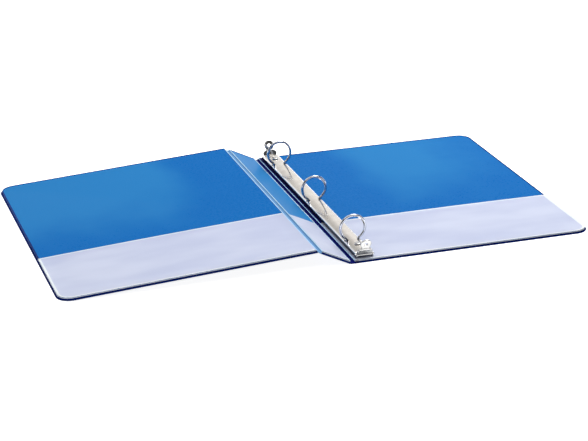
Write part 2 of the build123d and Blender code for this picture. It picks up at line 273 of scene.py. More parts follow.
# %% Recipe
class Recipe:
    """The node tree of a material or of the world, built up by calls."""

    def __init__(self, tree):
        self.tree = tree

    def add(self, kind, settings=None, inputs=None, output=0):
        node = self.tree.nodes.new(kind)
        for key, value in (settings or {}).items():
            setattr(node, key, value)
        for key, value in (inputs or {}).items():
            self.feed(node.inputs[key], value)
        return Wire(self, node.outputs[output])

    def feed(self, socket, value):
        if isinstance(value, Wire):
            self.tree.links.new(value.socket, socket)
        else:
            socket.default_value = value

    def place(self):
        """Object coordinates, which are the frame's own metres, and their three parts."""
        where = self.add("ShaderNodeTexCoord", output="Object")
        parts = self.add("ShaderNodeSeparateXYZ", inputs={0: where})
        return where, [Wire(self, parts.socket.node.outputs[i]) for i in range(3)]

    def noise(self, where, size, detail, rough=0.5):
        """Cloudy pattern from 0 to 1 whose blots are about this size across."""
        inputs = {"Vector": where, "Scale": 1 / size, "Detail": detail, "Roughness": rough}
        return self.add("ShaderNodeTexNoise", None, inputs, "Fac")

    def stretch(self, where, scale):
        return self.add("ShaderNodeMapping", None, {"Vector": where, "Scale": scale})

    def mix(self, factor, first, second):
        return self.add("ShaderNodeMix", {"data_type": "RGBA"}, {0: factor, 6: first, 7: second}, 2)

    def bump(self, height, distance):
        return self.add("ShaderNodeBump", None, {"Height": height, "Distance": distance})


def colour(red, green, blue):
    """Linear colour from the everyday 0 to 255 values."""
    def linear(value):
        value /= 255
        return value / 12.92 if value <= 0.04045 else ((value + 0.055) / 1.055) ** 2.4
    return (linear(red), linear(green), linear(blue), 1.0)


# %% Making a material
def new_material(name, constants, wiring):
    """A material whose fixed values sit on the shader and whose varying ones are wired."""
    material = bpy.data.materials.new(name)
    material.use_nodes = True
    surface = material.node_tree.nodes["Principled BSDF"]
    for key, value in constants.items():
        surface.inputs[key].default_value = value
    recipe = Recipe(material.node_tree)
    for key, value in wiring(recipe).items():
        recipe.feed(surface.inputs[key], value)
    return material


def dress(piece, *materials):
    """Give a piece its material slots."""
    piece.data.materials.clear()
    for material in materials:
        piece.data.materials.append(material)


# %% [markdown]
# ## Calendered vinyl
#
# Cover vinyl is rolled out with a faint pebble, so its shine breaks up a little. The blue also
# drifts over a hand's breadth, because the sheet isn't quite the same thickness everywhere,
# and a painted sheen lightens the middle of the covers towards the far end and the spine. The
# welds are painted almost navy, partly their own colour and partly painted shade on the
# climbing edges, and the base groove and a band beside the plate are painted navy as shade. The
# beads by the hinges are painted pale as highlights, and the front groove pale as lit. Every
# blue part is the same recipe with its own two colours, so the sheets look cut from one roll.

# %% Where the vinyl is dark or pale
PLATE_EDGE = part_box("top_plate")[0].x
PLATE_SHADE_BAND = (BASE_GROOVE + 2.6 * MM, PLATE_EDGE + 0.6 * MM)      # painted shade cast by the plate, from the hinge to the plate
PLATE_SHADE_FADE = 0.2 * MM
PLATE_SHADE_NAVY = colour(0, 6, 84)
FRONT_SHEEN_RAMP = (FRONT_GROOVE - 20 * MM, FRONT_GROOVE - 110 * MM)    # from no painted sheen to full
BACK_SHEEN_RAMP = (30 * MM, 110 * MM)
BACK_FREE_EDGE = (back_high.x, 120 * MM)    # less painted sheen at the free edge
FREE_EDGE_SHARE = 0.4
NEAR_TO_FAR = (-100 * MM, 100 * MM)
SPINE_SHEEN_RAMP = 3 * MM


def shade_by_plate(x):
    """1 on the band of painted shade between the hinge and the plate, 0 elsewhere."""
    start, end = PLATE_SHADE_BAND
    return x.ramp(start - PLATE_SHADE_FADE, start) * x.ramp(end + PLATE_SHADE_FADE, end)


def painted_sheen(x, y):
    """1 where a sheen is painted: the spine, and the covers' middles towards the far end."""
    front = x.ramp(*FRONT_SHEEN_RAMP)
    back = x.ramp(*BACK_SHEEN_RAMP) * x.ramp(*BACK_FREE_EDGE, FREE_EDGE_SHARE, 1)
    spine = (x.ramp(FRONT_GROOVE, FRONT_GROOVE + SPINE_SHEEN_RAMP)
             * x.ramp(BASE_GROOVE, BASE_GROOVE - SPINE_SHEEN_RAMP))
    return (front + back) * y.ramp(*NEAR_TO_FAR) + spine


# %% Vinyl
CLOUD, PEBBLE, MOTTLE = 60 * MM, 0.35 * MM, 1.6 * MM    # sizes of the three patterns
# shares of the random cloud and of the painted sheen in the blue
CLOUD_SHARE, SHEEN_SHARE = 0.4, 0.55
CONTRAST = (0.3, 0.7)                   # most of a noise pattern lies between these
MOTTLE_SHINE, CLOUD_SHINE = 0.12, 0.08  # how far each moves the roughness
VINYL_SHEEN = 0.014


def vinyl(name, pale, deep, roughness, grain=0.008):
    """Vinyl between two blues; grain is the height of the pebble in millimetres."""
    def wiring(r):
        where, (x, y, _) = r.place()
        # random drift of the blue, plus the painted sheen
        drift_and_sheen = r.noise(where, CLOUD, 3) * CLOUD_SHARE + painted_sheen(x, y) * SHEEN_SHARE
        pebble = r.noise(where, PEBBLE, 3, 0.6)
        mottle = r.noise(where, MOTTLE, 2)
        blue = r.mix(drift_and_sheen.ramp(*CONTRAST), deep, pale)
        return {
            # the plate's shade is painted navy beside it
            "Base Color": r.mix(shade_by_plate(x), blue, PLATE_SHADE_NAVY),
            "Roughness": roughness + (mottle - 0.5) * MOTTLE_SHINE + (drift_and_sheen - 0.5) * CLOUD_SHINE,
            "Normal": r.bump(pebble + mottle * 0.5, grain * MM),
        }
    return new_material(name, {"Specular IOR Level": VINYL_SHEEN}, wiring)


cover_vinyl = vinyl("cover_vinyl", colour(36, 126, 193), colour(2, 106, 184), 0.3)
# navy weld: partly the weld's own colour, partly painted shade on the climbing edges
weld_and_shade_vinyl = vinyl("weld_and_shade_vinyl", colour(16, 44, 128), colour(8, 30, 104), 0.42)
# pale paint for the beads by the hinges: a painted highlight
bead_highlight_vinyl = vinyl("bead_highlight_vinyl", colour(206, 238, 255), colour(186, 226, 255), 0.22)
# navy paint for the base groove: painted shade
groove_shade_vinyl = vinyl("groove_shade_vinyl", colour(2, 26, 122), colour(0, 12, 100), 0.4)
# pale paint for the front groove: painted light
lit_groove_vinyl = vinyl("lit_groove_vinyl", colour(112, 158, 204), colour(92, 140, 190), 0.36)
outside_vinyl = vinyl("outside_vinyl", colour(24, 104, 182), colour(14, 92, 170), 0.36, 0.03)
print("vinyls", [m.name for m in (cover_vinyl, weld_and_shade_vinyl, bead_highlight_vinyl, groove_shade_vinyl, lit_groove_vinyl,
                                  outside_vinyl)])

# %% [markdown]
# ## Frosted pocket film
#
# The pockets are film a fraction of a millimetre thick, embossed so fine that it scatters
# light instead of passing it. It looks lilac over blue. A little of the blue comes through,
# more where the film lies tight on the cover, so alpha and colour share one slow pattern.

# %% Frosted film
CLING, EMBOSS = 90 * MM, 0.5 * MM       # sizes of the two patterns
ALONG_THE_POCKET = (1.0, 2.6, 1.0)      # the film clings in bands that run from side to side
CLING_SWING = 0.04                      # how far the cover varies either way
SHADE_SHOWS_THROUGH = 0.34                    # how much more of the painted shade beside the plate shows through
CLING_CONTRAST, EMBOSS_SHINE = (0.25, 0.75), 0.1
FILM_SHEEN, FILM_GRAIN = 0.2, 0.01 * MM


def film(name, pale, deep, cover, roughness):
    """Film that hides this share of what lies under it."""
    def wiring(r):
        where, (x, _, _) = r.place()
        tight = r.noise(r.stretch(where, ALONG_THE_POCKET), CLING, 2)
        emboss = r.noise(where, EMBOSS, 2)
        hidden = tight.ramp(*CLING_CONTRAST, cover - CLING_SWING, cover + CLING_SWING)
        return {
            "Base Color": r.mix(tight.ramp(*CONTRAST), deep, pale),
            "Roughness": roughness + (emboss - 0.5) * EMBOSS_SHINE,
            # the film is thinner over the painted shade beside the plate, so that the shade shows
            # through
            "Alpha": hidden - shade_by_plate(x) * SHADE_SHOWS_THROUGH,
            "Normal": r.bump(emboss + tight * 2, FILM_GRAIN),
        }
    return new_material(name, {"Specular IOR Level": FILM_SHEEN}, wiring)


pocket_film = film("pocket_film", colour(214, 221, 244), colour(206, 214, 242), 0.88, 0.3)
# the welded border and hem: whiter film, partly a painted highlight
film_hem_highlight = film("film_hem_highlight", colour(248, 252, 255), colour(240, 248, 255), 0.97, 0.25)
print("films", pocket_film.name, film_hem_highlight.name)

# %% [markdown]
# ## Metals
#
# The rings are polished and plated wire, and the arched plate is plated sheet, a little
# duller and warmer. Metal shows its age as fine scratches, which are noise drawn out
# along one direction, and as soft patches where fingers have dulled it. The plate's walls
# are painted dark as shade and its shoulders white as a highlight. The plate could be three
# materials, for its top, shoulders and walls, but the painted shade and highlight only depend
# on place, so one material that knows where the walls are does the same without new slots.

# %% The plate's painted wall shade and shoulder highlight
SHOULDER_Z = PANEL_TOP + 3.9 * MM       # where the arch meets the side walls
PLATE_HALF = -PLATE_EDGE
WALL_OUT = (PLATE_HALF - 0.2 * MM, PLATE_HALF - 0.05 * MM)
WALL_DOWN = (SHOULDER_Z - 0.5 * MM, SHOULDER_Z - 0.9 * MM)
GLINT_BAND = (PLATE_HALF - 1.7 * MM, PLATE_HALF - 1.1 * MM)
# painted highlight on the shoulders
GLINT_WHITE = (1.0, 1.0, 1.0, 1.0)
GLINT_SHINE = 0.06
# painted shade on the side walls
PLATE_WALL_SHADE = colour(52, 54, 66)


def plate_wall_shade_and_glint(r, x, z, plated, gloss):
    """Side walls painted dark as shade, below shoulders painted white as a highlight and a little
    glossier.
    """
    outwards = abs(x)
    wall = outwards.ramp(*WALL_OUT) * z.ramp(*WALL_DOWN)
    shoulder_glint = outwards.ramp(*GLINT_BAND) * (1 - wall)
    # painted white highlight on the shoulders
    tone = r.mix(shoulder_glint, plated, GLINT_WHITE)
    # painted shade on the walls, and glossier shoulders
    return r.mix(wall, tone, PLATE_WALL_SHADE), gloss - shoulder_glint * GLINT_SHINE


# %% Metals
SCRATCH, PATCH = 0.25 * MM, 9 * MM      # sizes of the two patterns
ALONG_THE_PLATE = (1, 0.03, 1)          # scratches drawn out along the spine
ROUND_THE_WIRE, UP_THE_LEVER = (1, 0.2, 1), (0.4, 1, 1)
PATCH_SHINE, SCRATCH_SHINE = 0.06, 0.04


def metal(name, pale, deep, roughness, draw, scratch=0.0015, sides=None):
    """A plated metal; sides paints a part's side walls with shade and its shoulders with a highlight,
    if given.
    """
    def wiring(r):
        where, (x, _, z) = r.place()
        scratches = r.noise(r.stretch(where, draw), SCRATCH, 2)
        patches = r.noise(where, PATCH, 3)
        plated = r.mix(patches.ramp(*CONTRAST), deep, pale)
        gloss = roughness + (patches - 0.5) * PATCH_SHINE + (scratches - 0.5) * SCRATCH_SHINE
        if sides:
            plated, gloss = sides(r, x, z, plated, gloss)
        return {
            "Base Color": plated,
            "Roughness": gloss,
            "Normal": r.bump(scratches, scratch * MM),
        }
    return new_material(name, {"Metallic": 1.0}, wiring)


ring_chrome = metal("ring_chrome", colour(212, 215, 223), colour(192, 196, 206), 0.06,
                    ROUND_THE_WIRE)
plate_nickel = metal("plate_nickel", colour(240, 234, 226), colour(230, 222, 213), 0.16,
                     ALONG_THE_PLATE, 0.0012, plate_wall_shade_and_glint)
lever_nickel = metal("lever_nickel", colour(208, 207, 206), colour(190, 189, 188), 0.1,
                     UP_THE_LEVER)
spring_steel = metal("spring_steel", colour(168, 170, 174), colour(140, 142, 148), 0.32,
                     ALONG_THE_PLATE, 0.004)
print("metals", [m.name for m in (ring_chrome, plate_nickel, lever_nickel, spring_steel)])

# %% [markdown]
# ## Greyboard
#
# The stiffeners are board made from waste paper. The vinyl hides them, but whoever takes it
# off, on the real binder or in the model, should find the flecks and fibres of greyboard.

# %% Greyboard
FIBRE, FLECK = 0.5 * MM, 0.9 * MM
FLECKS_ABOVE = 0.68         # only the peaks of the pattern are flecks
FIBRE_HEIGHT = 0.05 * MM
ALONG_THE_BOARD = (1, 0.3, 1)   # fibres drawn out along the spine


def greyboard():
    def wiring(r):
        where, _ = r.place()
        fibres = r.noise(r.stretch(where, ALONG_THE_BOARD), FIBRE, 4, 0.7)
        flecks = r.noise(where, FLECK, 2)
        pulp = r.mix(fibres, colour(150, 140, 122), colour(178, 168, 150))
        return {
            "Base Color": r.mix(flecks > FLECKS_ABOVE, pulp, colour(92, 86, 78)),
            "Normal": r.bump(fibres, FIBRE_HEIGHT),
        }
    return new_material("greyboard", {"Roughness": 0.9}, wiring)


board_stock = greyboard()
print("board", board_stock.name)

# %% [markdown]
# ## The carried-over metal and board
#
# The rings, plate, levers, pins, rivets, posts, carriers and boards are right as they come
# from the frame. They could be modelled again, but would only drift from the exact ones, so
# they get their finish and nothing else. The ending of a part's name says what it is.

# %% Finish for the mechanical parts
FINISHES = {
    "half_ring": ring_chrome, "plate": plate_nickel, "carrier": spring_steel,
    "board": board_stock, "lever": lever_nickel, "pin": lever_nickel,
    "rivet": lever_nickel, "post": spring_steel,
}
for node_name, node in frame["nodes"].items():
    for ending, finish in FINISHES.items():
        if node_name.endswith(ending):
            dress(node, finish)
finished = [name for name in frame["nodes"] if name.endswith(tuple(FINISHES))]
print("finished", len(finished), "carried-over parts")

# %% [markdown]
# ## A welded vinyl panel
#
# Each cover and the spine is a board between two vinyl sheets that are pressed together round
# the edge. The lower sheet is flat. The upper one climbs the board's edge and leaves a small
# bead at the top, where the soft vinyl was pushed up by the die. The bead catches the light
# all round the binder, and beside the hinges and over the pockets its bright line is a painted
# highlight.
#
# The sheet could be swept along its outline, but the corners would need care. Insets are
# simpler: starting from the flat outline, each inset moves inwards and upwards by one step of
# the section, and the corners follow by themselves. Solidify then gives the sheet its gauge.

# %% Outline and insets
CLIMB = [(0.04, 0.5), (0.05, 0.7), (0.08, 0.45), (0.12, 0.32), (0.14, 0.2)]   # in and up, mm
BEAD = [(0.34, 0.0), (0.14, -0.12), (0.2, -0.17), (0.36, -0.06), (0.4, -0.02)]
BEAD_FOOT = sum(step for step, _ in CLIMB + BEAD[:3]) * MM
HINGE_RIM = 0.05 * MM       # the weld is this narrow beside a hinge
CORNER_STEPS = 14


def at_free_side(x, x0, x1, free):
    """Whether x is at the free side, which is -1 at x0 or 1 at x1; the spine's 0 means none."""
    return free != 0 and abs(x - (x0 if free < 0 else x1)) < MM


def flat_outline(name, x0, x1, y0, y1, z, rounded, radius=FREE_CORNER):
    """A flat face with round corners where rounded(x, y) says so."""
    centre = ((x0 + x1) / 2, (y0 + y1) / 2, z)
    bpy.ops.mesh.primitive_plane_add(size=1, location=centre)
    piece = bpy.context.object
    piece.name = piece.data.name = name
    piece.scale = (x1 - x0, y1 - y0, 1)
    settle(piece)
    edit(piece)
    if pick_points(lambda at: rounded(at.x, at.y)):
        bpy.ops.mesh.bevel(offset=radius, segments=CORNER_STEPS, affect="VERTICES")
    return piece


def shift_field(test, value):
    """Move those corners of the field that pass the test."""
    if pick_points(test, only_field=True):
        bpy.ops.transform.translate(value=value)


def inset_rim(width, x0, x1, free, hinge_width, far=None, near=None):
    """Inset the selected face by width, but by the widths given along hinges and ends."""
    bpy.ops.mesh.inset(thickness=width)
    for side, edge in ((-1, x0), (1, x1)):
        if side != free:
            inner = edge - side * width
            shift_field(lambda at: abs(at.x - inner) < SAME, (side * (width - hinge_width), 0, 0))
    shape = bmesh.from_edit_mesh(bpy.context.edit_object.data)
    rows = [point.co.y for point in field_of(shape).verts]
    if far:
        top = max(rows)
        shift_field(lambda at: at.y > top - SAME, (0, width - far, 0))
    if near:
        low = min(rows)
        shift_field(lambda at: at.y < low + FREE_CORNER, (0, near - width, 0))
    pick_field()


# %% [markdown]
# ## The upper sheet and its colours
#
# The upper sheet is where the welding shows. Its colour is set by place: navy on the hard weld
# and the climb, partly the weld's own colour and partly painted shade; a painted highlight on
# the bead beside a hinge; and white, partly a painted highlight, where the film is wrapped over
# the lower third. One sheet could be cut into strips for this, but it is one piece of vinyl, so
# it stays whole and its faces are given different slots by place.

# %% The upper sheet
SHEET_FINISHES = (cover_vinyl, weld_and_shade_vinyl, bead_highlight_vinyl, film_hem_highlight, groove_shade_vinyl, lit_groove_vinyl)
WELD_AND_SHADE, BEAD_HIGHLIGHT, WRAPPED_HIGHLIGHT, SHADED_BASE_WALL, LIT_FRONT_WALL = range(1, 6)    # slots after the blue field
BASE_SIDE = 10 * MM         # nearer than this to the base groove is its own wall
FILM_WRAP_Z = 1.85 * MM     # the pocket film is drawn down the climb to this height, its white partly a painted highlight
HIGHLIGHT_DROP = 0.3 * MM        # the bead's painted highlight reaches this far below the field
NAVY_DROP = 0.1 * MM        # and the navy weld and painted shade start this far below it


def paint_sheet(piece, hinges):
    """Navy weld and painted shade on the climb, a painted highlight on the bead by a hinge, and blue in
    the field.
    """
    dress(piece, *SHEET_FINISHES)
    for face in piece.data.polygons:
        at = face.center
        span = max(abs(piece.data.vertices[i].co.x - at.x) for i in face.vertices)
        raised = at.z > PANEL_TOP + SAME
        level = not raised and at.z >= PANEL_TOP - SAME
        by_hinge = span < MM and any(abs(at.x - x) < BEAD_FOOT for x in hinges)
        # painted highlight on the bead beside a hinge
        if by_hinge and at.z > PANEL_TOP - HIGHLIGHT_DROP:
            face.material_index = BEAD_HIGHLIGHT
        # the groove's wall: painted shade by the base hinge, painted light by the front one
        elif by_hinge:
            face.material_index = SHADED_BASE_WALL if at.x > BASE_GROOVE - BASE_SIDE else LIT_FRONT_WALL
        # the film's white hem over the climb, partly a painted highlight
        elif at.z > FILM_WRAP_Z and at.y < FILM_TOP and not level:
            face.material_index = WRAPPED_HIGHLIGHT
        # navy weld, with painted shade on the climb and on the bead's crest
        elif raised or at.z < PANEL_TOP - NAVY_DROP:
            face.material_index = WELD_AND_SHADE


def upper_sheet(name, x0, x1, free):
    """The sheet over the board, with its weld rim, climb and bead; free is the free side."""
    piece = flat_outline(name, x0, x1, -HALF_HEIGHT, HALF_HEIGHT, 2 * SHEET,
                         lambda x, y: at_free_side(x, x0, x1, free))
    pick_field()
    inset_rim(RIM_WIDTH, x0, x1, free, HINGE_RIM)
    for inwards, upwards in CLIMB + BEAD:
        bpy.ops.mesh.inset(thickness=inwards * MM, depth=upwards * MM)
    bpy.ops.mesh.select_all(action="SELECT")
    bpy.ops.mesh.bisect(plane_co=(0, FILM_TOP, 0), plane_no=(0, 1, 0))
    only(piece)
    apply_modifier(piece, "SOLIDIFY", thickness=SHEET, offset=-1.0)
    paint_sheet(piece, [x for side, x in ((-1, x0), (1, x1)) if side != free])
    return close_edit(piece, 50)


# %% [markdown]
# ## The lower sheet and the rivet holes
#
# The outer face of a cover is flat, with one fine line all round where the die's edge has
# pressed. The line could be a dark stripe in the material, but it catches light as a groove
# does, so it is two insets. The rivets' holes are cut by a cylinder, as a punch would.

# %% The lower sheet
PRESS_LINE = [(1.3, 0), (0.2, 0.07), (0.4, 0), (0.2, -0.07)]    # in and up, mm
PUNCH_LENGTH = 2 * MM


def lower_sheet(name, x0, x1, free):
    """The flat outer sheet, with the line that the die presses just inside the rim."""
    piece = flat_outline(name, x0, x1, -HALF_HEIGHT, HALF_HEIGHT, SHEET,
                         lambda x, y: at_free_side(x, x0, x1, free))
    pick_field()
    bpy.ops.mesh.extrude_region_move(TRANSFORM_OT_translate={"value": (0, 0, -SHEET)})
    for inwards, upwards in PRESS_LINE:
        bpy.ops.mesh.inset(thickness=inwards * MM, depth=upwards * MM)
    bpy.ops.mesh.select_all(action="SELECT")
    bpy.ops.mesh.normals_make_consistent(inside=False)
    dress(piece, outside_vinyl)
    return close_edit(piece, 30)


def punch(piece, radius, z):
    """Cut round holes through a sheet where the two rivets pass."""
    for rivet in ("near_rivet", "far_rivet"):
        low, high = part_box(rivet)
        centre = ((low.x + high.x) / 2, (low.y + high.y) / 2, z)
        bpy.ops.mesh.primitive_cylinder_add(vertices=48, radius=radius, depth=PUNCH_LENGTH,
                                            location=centre)
        cutter = bpy.context.object
        apply_modifier(piece, "BOOLEAN", operation="DIFFERENCE", solver="EXACT", object=cutter)
        bpy.data.objects.remove(cutter)


# %% [markdown]
# ## Six sheets on three boards
#
# The back cover, the spine and the front cover are the same kind of panel in three widths.
# Each is made laid flat between its two edges, and then the spine and the front cover are
# turned into place. Beside a groove a panel stops short of the groove's middle, by as much as
# the die's bar is wide there.

# %% Making the six sheets
FRONT_STOP, SPINE_FRONT_STOP = 1.45 * MM, 2.35 * MM
SPINE_BASE_STOP, BACK_STOP = 2.85 * MM, 1.65 * MM
BACK_SPAN = (BASE_GROOVE + BACK_STOP, back_high.x, 1)
SPINE_SPAN = (FRONT_GROOVE + SPINE_FRONT_STOP, BASE_GROOVE - SPINE_BASE_STOP, 0)
FRONT_SPAN = (FRONT_FREE, FRONT_GROOVE - FRONT_STOP, -1)
PANELS = {
    "back": (BACK_SPAN, "back_cover", None),
    "spine": (SPINE_SPAN, "spine", lay_on_spine),
    "front": (FRONT_SPAN, "front_cover", lay_on_front),
}
RIVET_HOLE = 1.55 * MM      # round a rivet's shank
HEAD_HOLE = 4.05 * MM       # round its flat head, in the lower sheet

for panel, (span, body, lay) in PANELS.items():
    upper = upper_sheet(panel + "_inner_vinyl", *span)
    lower = lower_sheet(panel + "_outer_vinyl", *span)
    if panel == "back":
        punch(upper, RIVET_HOLE, PANEL_TOP)
        punch(lower, HEAD_HOLE, 0)
    for sheet, node in ((upper, "_inner_liner"), (lower, "_outer_skin")):
        if lay:
            lay(sheet)
        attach(sheet, body)
        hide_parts(panel + node)
        print(sheet.name, len(sheet.data.polygons), "faces")

# %% [markdown]
# ## Pocket film
#
# One strip of film is welded along the bottom, the free edges and the hinges, and stays open
# at the top. The weld leaves a pale border, and the open edge has a folded hem; both are painted
# whiter than the film, partly as a highlight. Between the welds the film stands a little off the
# cover, most of all at the open edge, which is why the hem throws a fine shadow. The film is cut
# into a coarse grid so that it can be lifted there.

# %% Film sizes and cuts
FILM_T = FILM_HIGH.z - FILM_LOW.z
FILM_BORDER = 1.1 * MM      # weld at a free edge
HINGE_BORDER = 0.1 * MM     # weld beside a hinge
HEM_WIDTH = 3.2 * MM        # hem along the open edge
NEAR_BORDER = 2.6 * MM      # weld along the bottom
FILM_STEP = (0.25 * MM, -0.12 * MM)     # from the border down to the film
FILM_CLEAR = 0.02 * MM      # between the film and the vinyl
HEM_LIFT = 0.45 * MM        # slack in the middle of the open edge
SPINE_LIFT = HEM_LIFT * 0.4
SLACK_POWER = 1.5           # how fast the slack dies away towards the bottom
CLEAR_OF_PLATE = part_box("top_plate")[1].x + 6 * MM
COLUMN_WIDTH, FEWEST_COLUMNS, ROWS = 12 * MM, 4, 9


def cut_across(axis, low, high, count):
    """Cut the whole piece by evenly spaced planes square to an axis."""
    normal = [float(axis == i) for i in range(3)]
    for i in range(1, count):
        place = [0.0, 0.0, 0.0]
        place[axis] = low + (high - low) * i / count
        bpy.ops.mesh.select_all(action="SELECT")
        bpy.ops.mesh.bisect(plane_co=place, plane_no=normal)


def is_border(face, a, b, bottom, free):
    """Whether a face lies on the weld or the hem; the inner corner's arc moved up with it."""
    at, step = face.center, FILM_STEP[0]
    if at.y > FILM_TOP - HEM_WIDTH - step or at.y < bottom + NEAR_BORDER + step:
        return True
    if free == 0:
        return False
    inward = (b - at.x) if free == 1 else (at.x - a)
    radius = FREE_CORNER - RIM_WIDTH - BEAD_FOOT - FILM_BORDER
    from_corner = Vector((inward - FILM_BORDER - radius, at.y - bottom - NEAR_BORDER - radius))
    if from_corner.x < 0 and from_corner.y < 0:
        return from_corner.length > radius - 2 * step
    return inward < FILM_BORDER + step


def lift_film(piece, x_from, x_to, bottom, lift):
    """Weigh the film's points, most in the middle of the open edge, and lift them by weight."""
    only(piece)
    slack = piece.vertex_groups.new(name="slack")
    for point in piece.data.vertices:
        across = min(max((point.co.x - x_from) / (x_to - x_from), 0), 1)
        up = max(0, (point.co.y - bottom) / (FILM_TOP - bottom))
        slack.add([point.index], math.sin(math.pi * across) * up ** SLACK_POWER, "REPLACE")
    apply_modifier(piece, "DISPLACE", direction="Z", strength=lift, mid_level=0,
                   vertex_group="slack")
    piece.vertex_groups.remove(piece.vertex_groups["slack"])


# %% [markdown]
# ## One pocket
#
# The film starts as the panel's own outline, made smaller by the weld and the bead. It is
# extruded to its gauge, inset for the welded border, and stepped down by a second inset, so
# that the border stands proud. Only then is it cut into columns and rows and lifted, because
# an inset on a curved face would pull its border out of line.

# %% A pocket
def pocket(name, x0, x1, free, lift_from, lift):
    """A pocket's film with its border, lifted between lift_from and x1 or the free side."""
    edge_in = RIM_WIDTH + BEAD_FOOT
    a = x0 + (edge_in if free == -1 else HINGE_RIM + BEAD_FOOT)
    b = x1 - (edge_in if free == 1 else HINGE_RIM + BEAD_FOOT)
    bottom = edge_in - HALF_HEIGHT
    piece = flat_outline(name, a, b, bottom, FILM_TOP, PANEL_TOP + FILM_CLEAR,
                         lambda x, y: at_free_side(x, a, b, free) and y < bottom + MM,
                         FREE_CORNER - edge_in)
    pick_field()
    border_t = FILM_T - FILM_CLEAR - FILM_STEP[1]
    bpy.ops.mesh.extrude_region_move(TRANSFORM_OT_translate={"value": (0, 0, border_t)})
    inset_rim(FILM_BORDER, a, b, free, HINGE_BORDER, HEM_WIDTH, NEAR_BORDER)
    bpy.ops.mesh.inset(thickness=FILM_STEP[0], depth=FILM_STEP[1])
    bpy.ops.mesh.select_all(action="SELECT")
    bpy.ops.mesh.normals_make_consistent(inside=False)
    cut_across(0, a, b, max(FEWEST_COLUMNS, round((b - a) / COLUMN_WIDTH)))
    cut_across(1, bottom, FILM_TOP, ROWS)
    lift_film(piece, lift_from, b if free == 1 else a, bottom, lift)
    dress(piece, pocket_film, film_hem_highlight)
    hemmed = 0
    # border and hem faces take the hem's white, partly a painted highlight
    for face in piece.data.polygons:
        if is_border(face, a, b, bottom, free):
            face.material_index = 1
            hemmed += 1
    print(name, hemmed, "border faces")
    return close_edit(piece, 40)


# %% Making the three pockets
POST_HOLE = 3.3 * MM        # round a post, in the back cover's film
POCKETS = {
    "back": (CLEAR_OF_PLATE, HEM_LIFT),
    "spine": (SPINE_SPAN[1], SPINE_LIFT),
    "front": (FRONT_SPAN[1], HEM_LIFT),
}
for panel, (lift_from, lift) in POCKETS.items():
    span, body, lay = PANELS[panel]
    sleeve = pocket(panel + "_pocket", *span, lift_from, lift)
    if panel == "back":
        punch(sleeve, POST_HOLE, PANEL_TOP)
    if lay:
        lay(sleeve)
    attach(sleeve, body)
    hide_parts(panel + "_pocket_film")
    print(sleeve.name, len(sleeve.data.polygons), "faces")

# %% [markdown]
# ## Hinge strips
#
# A binder's hinge is only vinyl: a bar die welds the two sheets into a groove, and the cover
# folds there. The strip is a narrow grid. Its columns are lowered into the section of the
# groove, then turned one after another about the fold line, each by its share of the angle,
# as the vinyl itself bends.

# %% A hinge strip
STRIP_COLUMNS, STRIP_ROWS = 16, 12
STRIP_T = 0.5 * MM
STRIP_FLOOR = 0.62 * MM     # top of the strip at the groove's bottom
STRIP_EDGE = 1.25 * MM      # top of the strip where it meets the panels
STRIP_WALL = 0.8 * MM       # width of the slope between the two
SAME_COLUMN = 1e-6          # metres; the points of a column agree this closely
FACING_DOWN = -0.5          # a normal below this is on the outside of the case


def smooth(value):
    """Smooth step from 0 to 1."""
    value = min(max(value, 0), 1)
    return value * value * (3 - 2 * value)


def hinge_strip(name, x0, x1, fold_x, bend, band, finish):
    """A grooved strip from x0 to x1, bent about the line at fold_x; band is where it bends."""
    bpy.ops.mesh.primitive_grid_add(x_subdivisions=STRIP_COLUMNS, y_subdivisions=STRIP_ROWS,
                                    size=1, location=((x0 + x1) / 2, 0, STRIP_FLOOR))
    piece = bpy.context.object
    piece.name = piece.data.name = name
    piece.scale = (x1 - x0, 2 * HALF_HEIGHT, 1)
    settle(piece)
    columns = sorted({round(v.co.x, 7) for v in piece.data.vertices})
    edit(piece)
    line = Vector((fold_x, 0, FOLD_Z))
    for x in columns:
        pick_points(lambda at: abs(at.x - x) < SAME_COLUMN)
        from_wall = min(x - x0, x1 - x)
        rise = (STRIP_EDGE - STRIP_FLOOR) * (1 - smooth(from_wall / STRIP_WALL))
        bpy.ops.transform.translate(value=(0, 0, rise))
        share = smooth((band[1] - x) / (band[1] - band[0]))
        if share > 0:
            bpy.ops.transform.rotate(value=-bend * share, orient_axis="Y", orient_type="GLOBAL",
                                     center_override=line)
            bpy.ops.mesh.select_all(action="DESELECT")
    only(piece)
    apply_modifier(piece, "SOLIDIFY", thickness=STRIP_T, offset=-1.0)
    dress(piece, finish, outside_vinyl)
    for face in piece.data.polygons:
        if face.normal.z < FACING_DOWN:
            face.material_index = 1
    return close_edit(piece, 60)


# %% [markdown]
# ## The two hinges
#
# The base hinge joins the back cover to the spine and is painted navy as shade. The front hinge
# joins the spine to the front cover, bends the other way, and is painted pale as the light it
# catches over the ridge. The band where each hinge bends is read from two numbers.

# %% Making the two hinges
BASE_BEND = (0.45 * MM, 0.9 * MM)       # from the fold line into the spine, and into the cover
FRONT_BEND = (0.15 * MM, 1.2 * MM)      # into the front cover, and into the spine

base_fold_x = BASE_FOLD_LINE.x
# the base strip is painted navy as shade
base_strip = hinge_strip("base_hinge_strip", SPINE_SPAN[1], BACK_SPAN[0], base_fold_x, SPINE_TILT,
                         (base_fold_x - BASE_BEND[0], base_fold_x + BASE_BEND[1]), groove_shade_vinyl)
